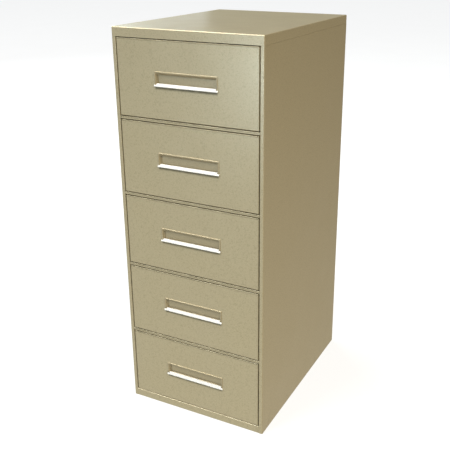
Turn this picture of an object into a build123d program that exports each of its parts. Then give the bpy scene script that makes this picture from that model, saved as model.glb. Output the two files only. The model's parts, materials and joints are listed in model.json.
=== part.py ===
"""Five-drawer vertical filing cabinet in folded sheet steel.

Frame: origin on the floor under the middle of the overall box, +Z up, drawers open towards -Y,
+X to the right when facing the drawers. Millimetres.
"""

from build123d import *
import os

# Overall size, with the grip lips in the depth and the feet in the height
WIDTH = 470.0
DEPTH = 620.0
HEIGHT = 1200.0
DRAWERS = 5

# Sheet metal
SHEET = 1.0  # body and drawer sheet
SLIDE_SHEET = 1.2  # slides, posts and followers
BEND = 1.5  # outside radius of a plain fold
CORNER = 3.0  # outside radius of the case's long front corners and of the cap

# Case
LIP_REACH = 4.0  # how far the grip lips stand out of the front
FOOT_CLEARANCE = 1.5  # floor to the case's lower edge
FASCIA = 27.0  # height of the cap
BASE = 26.0  # height of the base rail's top
STRIP = 12.0  # width of the side panel's face beside the drawers
RAIL = 8.0  # face height of a cross rail
GAP = 2.5  # round each drawer front
SEAM = 0.4  # between the cap and the side panels
RETURN = 18.0  # depth of the folds behind the face
REAR_FLANGE = 15.0
FLOOR_FLANGE = 14.0
TONGUE_LAP = 14.0  # how far the side panel's tongue laps below the seam
TONGUE_INSET = 8.0
TONGUE_DROP = 4.0
RAIL_DEPTH = 22.0
BASE_DEPTH = 20.0
PAN_LIFT = 4.0  # base pan's edge above the floor

# Posts
POST_DEPTH = 40.0
FRONT_POST_SETBACK = 24.0
REAR_POST_SETBACK = 64.0
POST_TOP_DROP = 1.0  # below the side panel's tongue

# Drawers
PAN_DEPTH = 19.0
TRAY_HALF = 210.0
TRAY_LIFT = 14.0
TRAY_HEIGHT = 170.0
TRAY_LENGTH = 545.0
TRAY_BACK_DROP = 12.0
SKIN_INSET = 1.5
HEM = 8.0
HEM_DROP = 6.0
GUIDE_HALF = 10.0
GUIDE_HEIGHT = 4.0
GUIDE_MARGIN = 16.0

# Handles
CUP_HALF = 96.0  # inside the cup at its mouth
CUP_TOP = 17.5
CUP_BOTTOM = -19.3
CUP_DEPTH = 8.2  # behind the drawer front
CUP_DRAFT = 6.0  # how far the sloping walls draw in
CUP_WALL = 1.2
CUP_CORNER = 2.0
BEZEL = 3.8  # width of the raised rim
BEZEL_PROUD = 1.4
BEZEL_ROUND = 1.1
BEZEL_FOOT = -15.0  # where the rim's legs end above the lip
APERTURE_MARGIN = 1.6
HANDLE_LIFT = 3.0  # handle's middle above the middle of the drawer front
LIP_NOSE = 1.6
LIP_EDGE = 0.8
LIP_LOW = -19.4  # height of the nose's centre
LIP_HIGH = -12.2  # height of the top edge's centre
LIP_BACK = 1.6  # top edge's centre behind the drawer front
LIP_TRIM = 93.0  # half width of the blade inside the cup

# Slides: cabinet, intermediate and drawer members, from the post inwards
SLIDE_LIFT = 44.0  # slide centre above the drawer front's lower edge
SLIDE_FRONT_SETBACK = 22.0
CABINET_MEMBER = 560.0
MIDDLE_MEMBER = 536.0
DRAWER_MEMBER = 520.0
CABINET_HALF = 23.0
CABINET_REACH = 10.6
RACE_LIP = 3.0
MIDDLE_HALF = 19.6
MIDDLE_WEB = 216.4
MIDDLE_TIP = 221.2
INNER_RACE_HALF = 17.6
INNER_RACE_TIP = 212.2
DRAWER_MEMBER_HALF = 14.0
DRAWER_MEMBER_TIP = 215.6
BUFFER_LENGTH = 10.0
BUFFER_HALF = 12.0
BUFFER_THICK = 5.0

# Screws between slides and posts
SCREW_R = 2.0
SCREW_HOLE_R = 2.1
SCREW_HEAD_R = 3.5
SCREW_HEAD = 1.6
SCREW_LENGTH = 7.0

# Followers
FOLLOWER_HALF = 190.0
FOLLOWER_FOOT_HALF = 60.0
FOLLOWER_FOOT = 70.0
FOLLOWER_HEIGHT = 140.0
FOLLOWER_LEAN = 10.0
FOLLOWER_LIP = 12.0
FOLLOWER_LIFT = 5.0
FOLLOWER_SETBACK = 30.0  # plate's foot in front of the tray's back
RUNNER_CLEARANCE = 0.6
FLOOR_CLEARANCE = 0.5

# Levelling feet
FOOT_X = 195.0
FOOT_FRONT_INSET = 45.0
FOOT_REAR_INSET = 40.0
PAD_R = 14.0
PAD_HEIGHT = 6.0
PAD_CHAMFER = 1.2
STUD_R = 4.0
STUD_TOP = 33.0
COLLAR_R = 7.0
COLLAR_HEIGHT = 3.0
STUD_HOLE_R = 4.3
NUT_BORE_R = 4.05
NUT_FLATS = 13.0
NUT_HEIGHT = 6.5

# Worked out
SIDE = WIDTH / 2
FRONT = -DEPTH / 2 + LIP_REACH
BACK = DEPTH / 2
OPENING = SIDE - STRIP
FRONT_HALF = OPENING - GAP
FRONT_HEIGHT = (HEIGHT - FASCIA - BASE - (DRAWERS - 1) * RAIL - 2 * DRAWERS * GAP) / DRAWERS
PITCH = FRONT_HEIGHT + 2 * GAP + RAIL
CAP_BOTTOM = HEIGHT - FASCIA
PANEL_TOP = CAP_BOTTOM - SEAM
INSIDE = SIDE - SHEET
SKIN = FRONT + PAN_DEPTH
TRAY_BACK = SKIN + TRAY_LENGTH
SLIDE_FRONT = FRONT + SLIDE_FRONT_SETBACK
POST_FRONTS = (FRONT + FRONT_POST_SETBACK, BACK - REAR_POST_SETBACK - POST_DEPTH)
FEET = [(x, y) for x in (-FOOT_X, FOOT_X) for y in (FRONT + FOOT_FRONT_INSET, BACK - FOOT_REAR_INSET)]


def drawer_base(number):
    """Height of a drawer front's lower edge; drawer 1 is the top one."""
    return BASE + GAP + (DRAWERS - number) * PITCH


def handle_height(number):
    return drawer_base(number) + FRONT_HEIGHT / 2 + HANDLE_LIFT


def slide_height(number):
    return drawer_base(number) + SLIDE_LIFT


def upright(y):
    """An XZ plane at this y: sketch x is +X, sketch y is +Z, and a negative extrusion runs to +Y."""
    return Plane.XZ.offset(-y)


def folded(plane, points, radii, thickness=SHEET):
    """Section of a folded sheet whose outer face follows the points, with the metal on their left."""
    with BuildSketch(plane) as section:
        with BuildLine():
            FilletPolyline(*points, radius=radii)
            offset(amount=thickness, side=Side.LEFT)
        make_face()
    return section.sketch


def block(low, high):
    """A box from its lowest to its highest corner."""
    with BuildPart() as box:
        with BuildSketch(Plane.XY.offset(low[2])):
            with Locations(((low[0] + high[0]) / 2, (low[1] + high[1]) / 2)):
                Rectangle(high[0] - low[0], high[1] - low[1])
        extrude(amount=high[2] - low[2])
    return box.part


def both_sides(half):
    """The right-hand piece and its mirror image as one node of two solids."""
    with BuildPart() as pair:
        add(half)
        mirror(half, about=Plane.YZ)
    return pair.part


def mirrored(piece):
    with BuildPart() as other:
        mirror(piece, about=Plane.YZ)
    return other.part


def save(piece, name):
    piece.label = name
    export_step(piece, f"parts/{name}.step")


# Case


def top_cap():
    """Wrap-over cap: top, fascia and skirts in one pressing, with a return behind the fascia."""
    with BuildPart() as cap:
        add(block((-SIDE, FRONT, CAP_BOTTOM), (SIDE, BACK, HEIGHT)))
        fillet(cap.edges().filter_by(Axis.Z), radius=CORNER)
        fillet(cap.edges().group_by(Axis.Z)[-1], radius=CORNER)
        offset(amount=-SHEET, openings=cap.faces().sort_by(Axis.Z)[0])
        add(
            block(
                (-OPENING + GAP, FRONT + SHEET / 2, CAP_BOTTOM),
                (OPENING - GAP, FRONT + RETURN, CAP_BOTTOM + SHEET),
            )
        )
    return cap.part


def side_panel():
    """Right side: face strip and its return in front, flange at the back, tongue under the cap."""
    points = [
        (OPENING, FRONT + RETURN),
        (OPENING, FRONT),
        (SIDE, FRONT),
        (SIDE, BACK),
        (SIDE - REAR_FLANGE, BACK),
    ]
    with BuildPart() as panel:
        extrude(
            folded(Plane.XY.offset(FOOT_CLEARANCE), points, [BEND, CORNER, BEND]),
            amount=PANEL_TOP - FOOT_CLEARANCE,
        )
        add(
            block(
                (INSIDE - SHEET, FRONT + TONGUE_INSET, PANEL_TOP - TONGUE_LAP),
                (INSIDE, BACK - TONGUE_INSET, HEIGHT - TONGUE_DROP),
            )
        )
        add(
            block(
                (SIDE - FLOOR_FLANGE, FRONT + RAIL_DEPTH, FOOT_CLEARANCE),
                (SIDE - SHEET / 2, BACK - SHEET / 2, FOOT_CLEARANCE + SHEET),
            )
        )
    return panel.part


def back_panel():
    return block(
        (-INSIDE + CORNER, BACK - 2 * SHEET, PAN_LIFT),
        (INSIDE - CORNER, BACK - SHEET, HEIGHT - TONGUE_DROP),
    )


def base_pan():
    """Upturned tray that closes the bottom; the feet's studs pass through it."""
    with BuildPart() as pan:
        add(
            block(
                (-INSIDE, FRONT + BASE_DEPTH, PAN_LIFT),
                (INSIDE, BACK - 2 * SHEET, BASE - SHEET),
            )
        )
        fillet(pan.edges().filter_by(Axis.Z), radius=BEND)
        fillet(pan.edges().group_by(Axis.Z)[-1], radius=BEND)
        offset(amount=-SHEET, openings=pan.faces().sort_by(Axis.Z)[0])
        with BuildSketch(Plane.XY.offset(BASE)):
            with Locations(*FEET):
                Circle(STUD_HOLE_R)
        extrude(amount=-BASE / 2, mode=Mode.SUBTRACT)
    return pan.part


def face_rail(low, high, depth):
    """A rail of C section across the front, its face flush with the drawers."""
    points = [(FRONT + depth, low), (FRONT, low), (FRONT, high), (FRONT + depth, high)]
    with BuildPart() as rail:
        extrude(folded(Plane.YZ.offset(-OPENING), points[::-1], BEND), amount=2 * OPENING)
    return rail.part


def post(front):
    """Right-hand post: a C channel, open to the side panel, with a screw hole for each slide."""
    points = [
        (INSIDE, front + POST_DEPTH),
        (OPENING, front + POST_DEPTH),
        (OPENING, front),
        (INSIDE, front),
    ]
    with BuildPart() as channel:
        extrude(
            folded(Plane.XY.offset(BASE - SHEET), points, BEND, SLIDE_SHEET),
            amount=PANEL_TOP - TONGUE_LAP - POST_TOP_DROP - BASE + SHEET,
        )
        with BuildSketch(Plane.YZ.offset(OPENING)):
            with Locations(*[(front + POST_DEPTH / 2, slide_height(n)) for n in numbers]):
                Circle(SCREW_HOLE_R)
        extrude(amount=2 * SLIDE_SHEET, mode=Mode.SUBTRACT)
    return channel.part


# Feet


def foot_pads():
    with BuildPart() as pads:
        with BuildSketch():
            with Locations(*FEET):
                Circle(PAD_R)
        extrude(amount=PAD_HEIGHT)
        chamfer(pads.edges().group_by(Axis.Z)[-1], length=PAD_CHAMFER)
    return pads.part


def foot_studs():
    with BuildPart() as studs:
        with BuildSketch(Plane.XY.offset(PAD_HEIGHT)):
            with Locations(*FEET):
                Circle(COLLAR_R)
        extrude(amount=COLLAR_HEIGHT)
        with BuildSketch(Plane.XY.offset(PAD_HEIGHT)):
            with Locations(*FEET):
                Circle(STUD_R)
        extrude(amount=STUD_TOP - PAD_HEIGHT)
    return studs.part


def foot_nuts():
    with BuildPart() as nuts:
        with BuildSketch(Plane.XY.offset(BASE - SHEET)):
            with Locations(*FEET):
                RegularPolygon(NUT_FLATS / 2, 6, major_radius=False)
                Circle(NUT_BORE_R, mode=Mode.SUBTRACT)
        extrude(amount=NUT_HEIGHT)
    return nuts.part


# Slides


def member(points, y, length, thickness=SLIDE_SHEET):
    """A right-hand slide member: its section in XZ, run back from y."""
    with BuildPart() as bar:
        extrude(folded(upright(y), points, BEND, thickness), amount=-length)
    return bar.part


def cabinet_member(z):
    tip = OPENING - CABINET_REACH
    points = [
        (tip, z - CABINET_HALF + RACE_LIP),
        (tip, z - CABINET_HALF),
        (OPENING, z - CABINET_HALF),
        (OPENING, z + CABINET_HALF),
        (tip, z + CABINET_HALF),
        (tip, z + CABINET_HALF - RACE_LIP),
    ]
    with BuildPart() as bar:
        add(member(points, SLIDE_FRONT, CABINET_MEMBER))
        with BuildSketch(Plane.YZ.offset(OPENING)):
            with Locations(*[(front + POST_DEPTH / 2, z) for front in POST_FRONTS]):
                Circle(SCREW_HOLE_R)
        extrude(amount=-2 * SLIDE_SHEET, mode=Mode.SUBTRACT)
    return bar.part


def middle_member(z):
    """Two races back to back: one rides in the cabinet member, the drawer member rides in the other."""
    points = [
        (MIDDLE_TIP, z + MIDDLE_HALF),
        (MIDDLE_WEB, z + MIDDLE_HALF),
        (MIDDLE_WEB, z - MIDDLE_HALF),
        (MIDDLE_TIP, z - MIDDLE_HALF),
    ]
    start, end = SLIDE_FRONT, SLIDE_FRONT + MIDDLE_MEMBER
    with BuildPart() as bar:
        add(member(points, start, MIDDLE_MEMBER))
        for low in (z + INNER_RACE_HALF - SLIDE_SHEET, z - INNER_RACE_HALF):
            add(block((INNER_RACE_TIP, start, low), (MIDDLE_WEB, end, low + SLIDE_SHEET)))
    return bar.part


def drawer_member(z):
    points = [
        (DRAWER_MEMBER_TIP, z + DRAWER_MEMBER_HALF),
        (TRAY_HALF, z + DRAWER_MEMBER_HALF),
        (TRAY_HALF, z - DRAWER_MEMBER_HALF),
        (DRAWER_MEMBER_TIP, z - DRAWER_MEMBER_HALF),
    ]
    return member(points, SLIDE_FRONT, DRAWER_MEMBER)


def slide_buffers():
    """Rubber blocks in the cabinet members, just behind the closed intermediate members."""
    start = SLIDE_FRONT + MIDDLE_MEMBER + SHEET
    outer = OPENING - SLIDE_SHEET
    with BuildPart() as blocks:
        for number in numbers:
            z = slide_height(number)
            add(
                block(
                    (outer - BUFFER_THICK, start, z - BUFFER_HALF),
                    (outer, start + BUFFER_LENGTH, z + BUFFER_HALF),
                )
            )
        mirror(about=Plane.YZ)
    return blocks.part


def slide_screws():
    """Pan-head screws from the cabinet members' inside into the posts."""
    places = [
        (front + POST_DEPTH / 2, slide_height(number)) for front in POST_FRONTS for number in numbers
    ]
    seat = OPENING - SLIDE_SHEET
    with BuildPart() as screws:
        with BuildSketch(Plane.YZ.offset(seat - SCREW_HEAD)):
            with Locations(*places):
                Circle(SCREW_HEAD_R)
        extrude(amount=SCREW_HEAD)
        with BuildSketch(Plane.YZ.offset(seat)):
            with Locations(*places):
                Circle(SCREW_R)
        extrude(amount=SCREW_LENGTH)
        mirror(about=Plane.YZ)
    return screws.part


# Drawers


def drawer_front(number):
    """Pan of folded sheet with the aperture for the handle cup."""
    low = drawer_base(number)
    middle = handle_height(number)
    with BuildPart() as pan:
        add(block((-FRONT_HALF, FRONT, low), (FRONT_HALF, SKIN, low + FRONT_HEIGHT)))
        fillet(pan.edges().filter_by(Axis.Y), radius=BEND)
        fillet(pan.edges().group_by(Axis.Y)[0], radius=BEND)
        offset(amount=-SHEET, openings=pan.faces().sort_by(Axis.Y)[-1])
        with BuildSketch(upright(FRONT)):
            with Locations((0, middle + (CUP_TOP + CUP_BOTTOM) / 2)):
                RectangleRounded(
                    2 * (CUP_HALF + APERTURE_MARGIN),
                    CUP_TOP - CUP_BOTTOM + 2 * APERTURE_MARGIN,
                    CUP_CORNER + APERTURE_MARGIN,
                )
        extrude(amount=-2 * SHEET, mode=Mode.SUBTRACT)
    return pan.part


def drawer_tray(number):
    """Tray open at the top: hemmed sides and floor, back, the front's inner skin and the floor guide."""
    low = drawer_base(number) + TRAY_LIFT
    top = low + TRAY_HEIGHT
    inner = TRAY_HALF - HEM
    points = [
        (-inner, top - HEM_DROP),
        (-inner, top),
        (-TRAY_HALF, top),
        (-TRAY_HALF, low),
        (TRAY_HALF, low),
        (TRAY_HALF, top),
        (inner, top),
        (inner, top - HEM_DROP),
    ]
    skin_half = FRONT_HALF - SKIN_INSET
    skin_low = drawer_base(number) + SKIN_INSET
    with BuildPart() as tray:
        extrude(folded(upright(SKIN + SHEET / 2), points, BEND), amount=-TRAY_LENGTH + SHEET / 2)
        add(
            block(
                (-skin_half, SKIN, skin_low),
                (skin_half, SKIN + SHEET, skin_low + FRONT_HEIGHT - 2 * SKIN_INSET),
            )
        )
        add(
            block(
                (-TRAY_HALF + SHEET / 2, TRAY_BACK - SHEET, low + SHEET / 2),
                (TRAY_HALF - SHEET / 2, TRAY_BACK, top - TRAY_BACK_DROP),
            )
        )
        add(
            block(
                (-GUIDE_HALF, SKIN + GUIDE_MARGIN, low + SHEET / 2),
                (GUIDE_HALF, TRAY_BACK - GUIDE_MARGIN, low + SHEET + GUIDE_HEIGHT),
            )
        )
    return tray.part


def cup_section(plane, middle, inset):
    """Rounded mouth of the cup, drawn in by the inset (or out, where it is negative)."""
    with BuildSketch(plane) as section:
        with Locations((0, middle + (CUP_TOP + CUP_BOTTOM) / 2)):
            RectangleRounded(
                2 * (CUP_HALF - inset),
                CUP_TOP - CUP_BOTTOM - 2 * inset,
                CUP_CORNER - min(inset, 0),
            )
    return section.sketch


def handle_cup(number):
    """Tapered cup behind the aperture, with a raised rim on its left, top and right."""
    middle = handle_height(number)
    rim = FRONT - BEZEL_PROUD
    outside = [
        cup_section(upright(FRONT), middle, -CUP_WALL),
        cup_section(upright(FRONT + CUP_DEPTH), middle, CUP_DRAFT - CUP_WALL),
    ]
    inside = [
        cup_section(upright(rim), middle, 0),
        cup_section(upright(FRONT + CUP_DEPTH - CUP_WALL), middle, CUP_DRAFT),
    ]
    with BuildPart() as cup:
        loft(outside)
        with BuildSketch(upright(rim)):
            with Locations((0, middle + (CUP_TOP + BEZEL + BEZEL_FOOT) / 2)):
                Rectangle(2 * (CUP_HALF + BEZEL), CUP_TOP + BEZEL - BEZEL_FOOT)
        extrude(amount=-BEZEL_PROUD)
        corners = cup.edges().filter_by(Axis.Y).group_by(Axis.Z)[-1]
        fillet(corners, radius=CUP_CORNER)
        loft(inside, mode=Mode.SUBTRACT)
        fillet(cup.faces().sort_by(Axis.Y)[0].edges(), radius=BEZEL_ROUND)
    return cup.part


def handle_lip(number):
    """Grip lip: a leaning blade with a rounded nose, trimmed at its ends to pass into the cup."""
    middle = handle_height(number)
    half = CUP_HALF + BEZEL
    with BuildPart() as lip:
        with BuildSketch(Plane.YZ.offset(-half)):
            with Locations((FRONT - LIP_REACH + LIP_NOSE, middle + LIP_LOW)):
                Circle(LIP_NOSE)
            with Locations((FRONT + LIP_BACK, middle + LIP_HIGH)):
                Circle(LIP_EDGE)
            make_hull()
            with Locations((FRONT - (LIP_REACH - LIP_NOSE) / 2, middle + LIP_LOW)):
                Rectangle(LIP_REACH - LIP_NOSE, 2 * LIP_NOSE)
        extrude(amount=2 * half)
        for side in (-1, 1):
            ends = sorted((side * LIP_TRIM, side * (half + SHEET)))
            add(
                block(
                    (ends[0], FRONT, middle + 2 * LIP_LOW),
                    (ends[1], FRONT + CUP_DEPTH, middle),
                ),
                mode=Mode.SUBTRACT,
            )
            add(
                block(
                    (ends[0], FRONT - BEZEL_PROUD - SEAM / 2, middle + BEZEL_FOOT - SEAM / 2),
                    (ends[1], FRONT + CUP_DEPTH, middle),
                ),
                mode=Mode.SUBTRACT,
            )
    return lip.part


def file_follower(number):
    """Leaning plate on a foot that straddles the tray's floor guide."""
    floor = drawer_base(number) + TRAY_LIFT + SHEET
    heel = TRAY_BACK - FOLLOWER_SETBACK
    toe = heel - FOLLOWER_FOOT
    foot = floor + FOLLOWER_LIFT
    points = [
        (toe, foot),
        (heel, foot),
        (heel + FOLLOWER_LEAN, floor + FOLLOWER_HEIGHT),
        (heel + FOLLOWER_LEAN + FOLLOWER_LIP, floor + FOLLOWER_HEIGHT),
    ]
    near = GUIDE_HALF + RUNNER_CLEARANCE
    far = FOLLOWER_FOOT_HALF - SLIDE_SHEET
    with BuildPart() as follower:
        extrude(
            folded(Plane.YZ.offset(-FOLLOWER_HALF), points, BEND, SLIDE_SHEET),
            amount=2 * FOLLOWER_HALF,
        )
        for side in (-1, 1):
            outer = sorted((side * FOLLOWER_FOOT_HALF, side * (FOLLOWER_HALF + SHEET)))
            add(
                block(
                    (outer[0], toe - SHEET, floor),
                    (outer[1], heel - 2 * SLIDE_SHEET, foot + 2 * SLIDE_SHEET),
                ),
                mode=Mode.SUBTRACT,
            )
            for inner in (near, far):
                ends = sorted((side * inner, side * (inner + SLIDE_SHEET)))
                add(
                    block(
                        (ends[0], toe, floor + FLOOR_CLEARANCE),
                        (ends[1], heel - 2 * SLIDE_SHEET, foot + SLIDE_SHEET / 2),
                    )
                )
    return follower.part


os.makedirs("parts", exist_ok=True)
numbers = range(1, DRAWERS + 1)

save(top_cap(), "top_cap")
right_side = side_panel()
save(right_side, "right_side_panel")
save(mirrored(right_side), "left_side_panel")
save(back_panel(), "back_panel")
save(base_pan(), "base_pan")
save(face_rail(FOOT_CLEARANCE, BASE, BASE_DEPTH), "base_rail")
for number in numbers[:-1]:
    rail_low = drawer_base(number) - GAP - RAIL
    save(face_rail(rail_low, rail_low + RAIL, RAIL_DEPTH), f"divider_rail_{number}")
for place, post_front in zip(("front", "rear"), POST_FRONTS):
    right_post = post(post_front)
    save(right_post, f"right_{place}_post")
    save(mirrored(right_post), f"left_{place}_post")
save(foot_pads(), "foot_pads")
save(foot_studs(), "foot_studs")
save(foot_nuts(), "foot_nuts")
save(slide_buffers(), "slide_buffers")
save(slide_screws(), "slide_screws")

for number in numbers:
    height = slide_height(number)
    save(both_sides(cabinet_member(height)), f"cabinet_slides_{number}")
    save(both_sides(middle_member(height)), f"middle_slides_{number}")
    save(both_sides(drawer_member(height)), f"drawer_slides_{number}")
    save(drawer_front(number), f"drawer_front_{number}")
    save(drawer_tray(number), f"drawer_tray_{number}")
    save(handle_cup(number), f"handle_cup_{number}")
    save(handle_lip(number), f"handle_lip_{number}")
    save(file_follower(number), f"file_follower_{number}")
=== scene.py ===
"""Looks of a five-drawer sheet-steel filing cabinet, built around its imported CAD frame.

Metres, +Z up, drawers open towards -Y, origin on the floor under the middle of the case.
"""

import json
import math

import bpy
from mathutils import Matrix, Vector


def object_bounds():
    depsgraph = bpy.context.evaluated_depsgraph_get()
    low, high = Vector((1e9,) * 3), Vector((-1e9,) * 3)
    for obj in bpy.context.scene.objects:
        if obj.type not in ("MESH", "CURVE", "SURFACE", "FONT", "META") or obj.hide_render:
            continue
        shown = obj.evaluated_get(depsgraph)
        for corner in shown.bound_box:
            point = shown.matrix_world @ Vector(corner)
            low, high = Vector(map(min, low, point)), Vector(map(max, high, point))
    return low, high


MM = 0.001

# Camera: metres, degrees and millimetres of lens
CAMERA_AT = (0.991, -1.904, 1.405)
CAMERA_AZIMUTH = 26.5
CAMERA_ELEVATION = 20.1
CAMERA_LENS = 55.9
CAMERA_SHIFT = (-0.056, -0.05)
SENSOR = 36.0

# Surroundings: an even base, what is added towards each direction, and what the camera sees
SKY_DIM = (0.03, 0.03, 0.03)
SKY_GLOWS = (
    ((0.0, -1.0, 0.0), (0.05, 0.09, 0.10)),
    ((0.0, 0.0, -1.0), (1.10, 1.02, 0.84)),
    ((0.0, 0.0, 1.0), (0.42, 0.46, 0.48)),
)
SKY_SEEN = (0.91, 0.91, 0.91)

# Soft lights: name, azimuth, elevation, distance, width of the square, watts and colour
WHITE = (1.0, 1.0, 1.0)
LIGHTS = (
    ("sheen", -12.0, 2.0, 3.4, 0.8, 14.0, (0.60, 0.77, 1.0)),
    ("key", -34.0, 40.0, 16.0, 7.0, 2050.0, WHITE),
    ("overhead", -68.0, 62.0, 5.5, 2.4, 45.0, WHITE),
    ("right", 66.0, 42.0, 8.0, 3.5, 500.0, (1.0, 0.84, 0.58)),
    ("rear_left", -120.0, 30.0, 6.5, 4.2, 235.0, (0.84, 0.97, 1.0)),
    ("rear_low", -140.0, 7.0, 3.4, 1.0, 8.0, (0.80, 0.90, 1.0)),
)

# Floor, pale and faintly mottled
FLOOR_REACH = 60.0
FLOOR_TONES = (0.21, 0.23)
FLOOR_GLOW = 0.8
FLOOR_ROUGHNESS = 0.9

# Paint, what lies on it, and the tones of painted shade
PAINT = (0.49, 0.424, 0.276)
# The handle cups are body colour; this darker, browner tone is painted shade inside the recess
CUP_SHADED_PAINT = (0.43, 0.362, 0.23)
FOLLOWER_PAINT = (0.441, 0.3816, 0.2484)
DUST = (0.50, 0.47, 0.40)
SCUFF = (0.10, 0.085, 0.06)
# Tone of the painted shade below the grip lips and along the gaps beside drawer fronts and rails
PAINTED_SHADE = (0.11, 0.095, 0.05)
SPECKLE = (0.26, 0.215, 0.125)
PAINT_METALLIC = 0.4
PAINT_ROUGHNESS = (0.28, 0.34)
SCUFF_HEIGHT = 0.12

# Other finishes
LIP_METAL = (0.60, 0.59, 0.56)
LIP_METALLIC = 0.2
LIP_ROUGHNESS = (0.46, 0.58)
LIP_GRAIN = (1.0, 60.0, 60.0)
SLIDE_ZINC = (0.56, 0.57, 0.58)
HARDWARE_ZINC = (0.60, 0.59, 0.55)
GREASE = (0.45, 0.43, 0.36)
ZINC_ROUGHNESS = (0.28, 0.45)
RUBBER_TONES = ((0.016, 0.016, 0.017), (0.04, 0.039, 0.037))
RUBBER_ROUGHNESS = (0.6, 0.85)

# The middle range of a noise texture's values
NOISE = (0.3, 0.7)

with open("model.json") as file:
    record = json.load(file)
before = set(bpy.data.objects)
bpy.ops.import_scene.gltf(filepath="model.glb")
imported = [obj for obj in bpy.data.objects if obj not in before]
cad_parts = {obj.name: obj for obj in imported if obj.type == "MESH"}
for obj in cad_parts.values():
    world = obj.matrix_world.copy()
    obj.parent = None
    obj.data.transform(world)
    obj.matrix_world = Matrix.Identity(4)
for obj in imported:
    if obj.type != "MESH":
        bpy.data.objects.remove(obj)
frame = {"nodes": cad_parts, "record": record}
cad_low, cad_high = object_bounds()
nodes = frame["nodes"]
record = frame["record"]
middle = (cad_low + cad_high) / 2
DRAWERS = range(1, 6)
RAILS = range(1, 5)


# Node trees


class Tree:
    """A material's node tree, with short calls for what the finishes below share."""

    def __init__(self, name):
        self.material = bpy.data.materials.new(name)
        self.material.use_nodes = True
        self.tree = self.material.node_tree
        self.shader = self.tree.nodes["Principled BSDF"]
        self.place = self.add("ShaderNodeTexCoord").outputs["Object"]

    def add(self, kind, inputs=None, **settings):
        node = self.tree.nodes.new(kind)
        for key, value in settings.items():
            setattr(node, key, value)
        for key, value in (inputs or {}).items():
            self.put(value, node.inputs[key])
        return node

    def put(self, value, socket):
        if isinstance(value, bpy.types.NodeSocket):
            self.tree.links.new(value, socket)
        else:
            socket.default_value = value

    def math(self, operation, *values):
        node = self.add("ShaderNodeMath", operation=operation)
        for socket, value in zip(node.inputs, values):
            self.put(value, socket)
        return node.outputs[0]

    def scaled(self, scale):
        """Object coordinates stretched along each axis, per metre."""
        node = self.add("ShaderNodeMapping", {"Vector": self.place, "Scale": scale})
        return node.outputs["Vector"]

    def noise(self, scale, detail=2.0, roughness=0.5, place=None):
        inputs = {"Scale": scale, "Detail": detail, "Roughness": roughness}
        inputs["Vector"] = place or self.place
        return self.add("ShaderNodeTexNoise", inputs).outputs["Fac"]

    def ramp(self, value, low, high, start=0.0, end=1.0):
        inputs = {"Value": value, "From Min": low, "From Max": high, "To Min": start, "To Max": end}
        return self.add("ShaderNodeMapRange", inputs).outputs["Result"]

    def mix(self, factor, first, second):
        node = self.add("ShaderNodeMix", data_type="RGBA")
        self.put(factor, node.inputs[0])
        self.put(first, node.inputs[6])
        self.put(second, node.inputs[7])
        return node.outputs[2]

    def bump(self, height, distance, strength=1.0, before=None):
        inputs = {"Height": height, "Distance": distance, "Strength": strength}
        if before:
            inputs["Normal"] = before
        return self.add("ShaderNodeBump", inputs).outputs["Normal"]

    def shade(self, **inputs):
        for key, value in inputs.items():
            self.put(value, self.shader.inputs[key.replace("_", " ")])
        return self.material


def shade_of(color, factor=1.0):
    return (*(min(1.0, c * factor) for c in color), 1.0)


def painted_lip_shadow(t, lip, across, height):
    """Strength of the painted shadow below a grip lip: a dark line where the lip casts its shade on the
    front.
    """
    half, edge = lip
    below = t.math("SUBTRACT", edge, height)
    line = t.math("MULTIPLY", t.ramp(below, -4 * MM, -2 * MM), t.ramp(below, 9 * MM, 4 * MM))
    within = t.ramp(t.math("ABSOLUTE", across), half, half - 4 * MM)
    patchy = t.ramp(t.noise(60.0, 3.0), *NOISE, 0.6, 0.85)
    return t.math("MULTIPLY", t.math("MULTIPLY", line, within), patchy)


def painted_gap_shade(t, edges, across, inward, height):
    """Strength of the painted shade along a face's upper edge and its ends, beside the gaps between
    parts.
    """
    half, top, face = edges
    over = t.ramp(height, top - 4.5 * MM, top - 2 * MM)
    beside = t.ramp(t.math("ABSOLUTE", across), half - 3 * MM, half - 1 * MM, 0.0, 0.6)
    patchy = t.ramp(t.noise(35.0, 3.0), *NOISE, 0.45, 0.7)
    outer = t.math("MULTIPLY", patchy, t.ramp(inward, face + 5 * MM, face + 2.5 * MM))
    return t.math("MULTIPLY", t.math("MAXIMUM", over, beside), outer)


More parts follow.
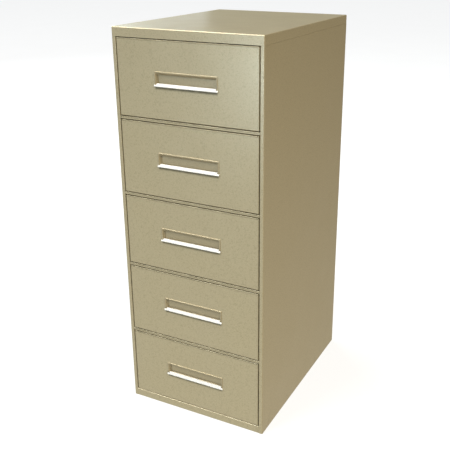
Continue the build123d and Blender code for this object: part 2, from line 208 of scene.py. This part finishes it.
def paint(name, color=PAINT, lip=None, edges=None):
    """Satin metallic enamel: flake, speckle, orange peel, slow waves in the sheet, faint dust and scuffs.

    lip is the half width and height of a grip lip's lower edge, below which a painted shadow line is
    laid.
    edges is the half width, height and front face of a drawer front or rail, which gets
    painted shade along its upper edge and its ends.
    """
    t = Tree(name)
    flake = t.noise(1100.0, 1.0)
    speckle = t.noise(260.0, 3.0, 0.7)
    cloud = t.noise(5.0, 3.0)
    base = t.mix(t.ramp(flake, *NOISE), shade_of(color, 0.90), shade_of(color, 1.10))
    base = t.mix(t.ramp(speckle, 0.52, 0.66, 0.0, 0.40), base, shade_of(SPECKLE))
    base = t.mix(t.ramp(cloud, 0.35, 0.75, 0.0, 0.06), base, shade_of(DUST))
    across, inward, height = t.add("ShaderNodeSeparateXYZ", {"Vector": t.place}).outputs
    low = t.ramp(height, SCUFF_HEIGHT, 0.0)
    scuffs = t.noise(40.0, 5.0, 0.7, t.scaled((1.0, 1.0, 0.35)))
    mark = t.math("MULTIPLY", t.ramp(scuffs, 0.60, 0.72, 0.0, 0.30), low)
    base = t.mix(mark, base, shade_of(SCUFF))
    if lip:
        # Painted shadow: a dark line on the front just below the grip lip
        base = t.mix(painted_lip_shadow(t, lip, across, height), base, shade_of(PAINTED_SHADE))
    if edges:
        # Painted shade along the face's upper edge and ends, beside the gaps
        base = t.mix(painted_gap_shade(t, edges, across, inward, height), base, shade_of(PAINTED_SHADE))
    rough = t.ramp(t.noise(14.0, 4.0, 0.6), *NOISE, *PAINT_ROUGHNESS)
    peel = t.bump(t.noise(420.0, 2.0), 0.03 * MM, 0.3)
    waves = t.bump(t.noise(3.0, 1.0), 2 * MM, 0.15, peel)
    return t.shade(Base_Color=base, Metallic=PAINT_METALLIC, Roughness=rough, Normal=waves)


def satin_metal(name, color):
    """Satin anodised metal, drawn along X."""
    t = Tree(name)
    streak = t.noise(50.0, 4.0, 0.65, t.scaled(LIP_GRAIN))
    base = t.mix(t.ramp(streak, *NOISE), shade_of(color, 0.94), shade_of(color, 1.03))
    rough = t.ramp(streak, *NOISE, *LIP_ROUGHNESS)
    normal = t.bump(streak, 0.04 * MM, 0.4)
    return t.shade(Base_Color=base, Metallic=LIP_METALLIC, Roughness=rough, Normal=normal)


def zinc(name, color):
    """Bright zinc plate with a faint spangle and a little grease bloom."""
    t = Tree(name)
    cells = t.add("ShaderNodeTexVoronoi", {"Vector": t.place, "Scale": 160.0}).outputs["Distance"]
    bloom = t.noise(30.0, 4.0, 0.6)
    base = t.mix(t.ramp(cells, 0.0, 0.8), shade_of(color, 0.9), shade_of(color, 1.08))
    base = t.mix(t.ramp(bloom, 0.5, 0.75, 0.0, 0.35), base, shade_of(GREASE))
    rough = t.ramp(bloom, *NOISE, *ZINC_ROUGHNESS)
    normal = t.bump(t.noise(500.0, 3.0), 0.03 * MM, 0.3)
    return t.shade(Base_Color=base, Metallic=1.0, Roughness=rough, Normal=normal)


def rubber(name):
    """Black rubber with a fine matt grain."""
    t = Tree(name)
    grain = t.noise(700.0, 4.0, 0.7)
    dark, light = RUBBER_TONES
    base = t.mix(t.ramp(grain, *NOISE), shade_of(dark), shade_of(light))
    rough = t.ramp(grain, *NOISE, *RUBBER_ROUGHNESS)
    return t.shade(Base_Color=base, Roughness=rough, Normal=t.bump(grain, 0.1 * MM, 0.4))


FINISHES = {
    "case_paint": paint("case_enamel"),
    "drawer_paint": paint("drawer_enamel"),
    "follower_paint": paint("follower_enamel", FOLLOWER_PAINT),
    "lip_metal": satin_metal("lip_aluminium", LIP_METAL),
    "slide_zinc": zinc("slide_zinc_plate", SLIDE_ZINC),
    "zinc_hardware": zinc("hardware_zinc_plate", HARDWARE_ZINC),
    "black_rubber": rubber("black_rubber_pad"),
}


def dress(node, finish):
    materials = nodes[node].data.materials
    materials.clear()
    materials.append(finish)


def lip_edge(number):
    """Half width and height of a grip lip's lower edge, in its drawer front's own coordinates."""
    lip, front = nodes[f"handle_lip_{number}"], nodes[f"drawer_front_{number}"]
    into = front.matrix_world.inverted() @ lip.matrix_world
    corners = [into @ Vector(corner) for corner in lip.bound_box]
    return max(corner.x for corner in corners), min(corner.z for corner in corners)


def face_edges(node):
    """Half width, height and front face of a piece, in its own coordinates."""
    across, inward, up = zip(*nodes[node].bound_box)
    return max(across), max(up), min(inward)


for subpart in record["subparts"]:
    dress(subpart["node"], FINISHES[subpart["material_slot"]])
# Handle cups get the darker paint: painted shade inside the recess
cup_shaded_paint = paint("cup_enamel_painted_shade", CUP_SHADED_PAINT)
for number in DRAWERS:
    dress(f"handle_cup_{number}", cup_shaded_paint)
    front = f"drawer_front_{number}"
    # Each drawer front carries a painted shadow below its lip and painted shade along its upper edge and
    # ends
    dress(front, paint(f"drawer_enamel_{number}", lip=lip_edge(number), edges=face_edges(front)))
for number in RAILS:
    rail = f"divider_rail_{number}"
    # Each rail carries painted shade along its upper edge and ends, beside the gaps
    dress(rail, paint(f"rail_enamel_{number}", edges=face_edges(rail)))


# Stage, light and camera


def floor():
    """A pale floor that glows a little, and that no reflection or bounced light sees."""
    mesh = bpy.data.meshes.new("studio_floor")
    reach = FLOOR_REACH
    corners = [(-reach, -reach, 0), (reach, -reach, 0), (reach, reach, 0), (-reach, reach, 0)]
    mesh.from_pydata(corners, [], [(0, 1, 2, 3)])
    plane = bpy.data.objects.new("studio_floor", mesh)
    bpy.context.scene.collection.objects.link(plane)
    t = Tree("pale_floor")
    darker, lighter = (shade_of(WHITE, tone) for tone in FLOOR_TONES)
    pale = t.mix(t.ramp(t.noise(2.0, 3.0), *NOISE), darker, lighter)
    glow = {"Emission_Color": shade_of(WHITE), "Emission_Strength": FLOOR_GLOW}
    mesh.materials.append(t.shade(Base_Color=pale, Roughness=FLOOR_ROUGHNESS, **glow))
    plane.visible_diffuse = False
    plane.visible_glossy = False


def softbox(name, azimuth, elevation, distance, width, watts, color):
    """A soft light aimed at the cabinet's middle; azimuth 0 is in front, 90 on the right."""
    light = bpy.data.lights.new(name, "AREA")
    light.shape = "RECTANGLE"
    light.size = light.size_y = width
    light.energy = watts
    light.color = color
    lamp = bpy.data.objects.new(name, light)
    around, up = math.radians(azimuth), math.radians(elevation)
    away = Vector((math.sin(around) * math.cos(up), -math.cos(around) * math.cos(up), math.sin(up)))
    lamp.location = middle + away * distance
    lamp.rotation_euler = away.to_track_quat("Z", "Y").to_euler()
    lamp.visible_camera = False
    bpy.context.scene.collection.objects.link(lamp)


def sky():
    """Surroundings: dim at the horizon, paler above, bright and warm below; plain to the camera."""
    world = bpy.data.worlds.new("studio")
    world.use_nodes = True
    tree = world.node_tree
    background = tree.nodes["Background"]
    around = tree.nodes.new("ShaderNodeTexCoord").outputs["Generated"]
    total = None
    for toward, color in SKY_GLOWS:
        facing = tree.nodes.new("ShaderNodeVectorMath")
        facing.operation = "DOT_PRODUCT"
        facing.inputs[1].default_value = toward
        tree.links.new(around, facing.inputs[0])
        glow = tree.nodes.new("ShaderNodeMapRange")
        tree.links.new(facing.outputs["Value"], glow.inputs["Value"])
        tint = tree.nodes.new("ShaderNodeMix")
        tint.data_type = "RGBA"
        tint.blend_type = "ADD"
        tint.inputs[7].default_value = (*color, 1.0)
        tree.links.new(glow.outputs["Result"], tint.inputs[0])
        if total:
            tree.links.new(total, tint.inputs[6])
        else:
            tint.inputs[6].default_value = (*SKY_DIM, 1.0)
        total = tint.outputs[2]
    seen = tree.nodes.new("ShaderNodeMix")
    seen.data_type = "RGBA"
    seen.inputs[7].default_value = (*SKY_SEEN, 1.0)
    tree.links.new(total, seen.inputs[6])
    tree.links.new(tree.nodes.new("ShaderNodeLightPath").outputs["Is Camera Ray"], seen.inputs[0])
    tree.links.new(seen.outputs[2], background.inputs["Color"])
    background.inputs["Strength"].default_value = 1.0
    bpy.context.scene.world = world


def camera():
    """A three-quarter view from the front right, with zero roll."""
    data = bpy.data.cameras.new("camera")
    data.sensor_width = SENSOR
    data.lens = CAMERA_LENS
    data.shift_x, data.shift_y = CAMERA_SHIFT
    body = bpy.data.objects.new("camera", data)
    azimuth, elevation = math.radians(CAMERA_AZIMUTH), math.radians(CAMERA_ELEVATION)
    look = Vector(
        (
            -math.sin(azimuth) * math.cos(elevation),
            math.cos(azimuth) * math.cos(elevation),
            -math.sin(elevation),
        )
    )
    body.location = CAMERA_AT
    body.rotation_euler = look.to_track_quat("-Z", "Y").to_euler()
    bpy.context.scene.collection.objects.link(body)
    bpy.context.scene.camera = body


floor()
sky()
for light in LIGHTS:
    softbox(*light)
bpy.context.scene.view_settings.view_transform = "Standard"
camera()
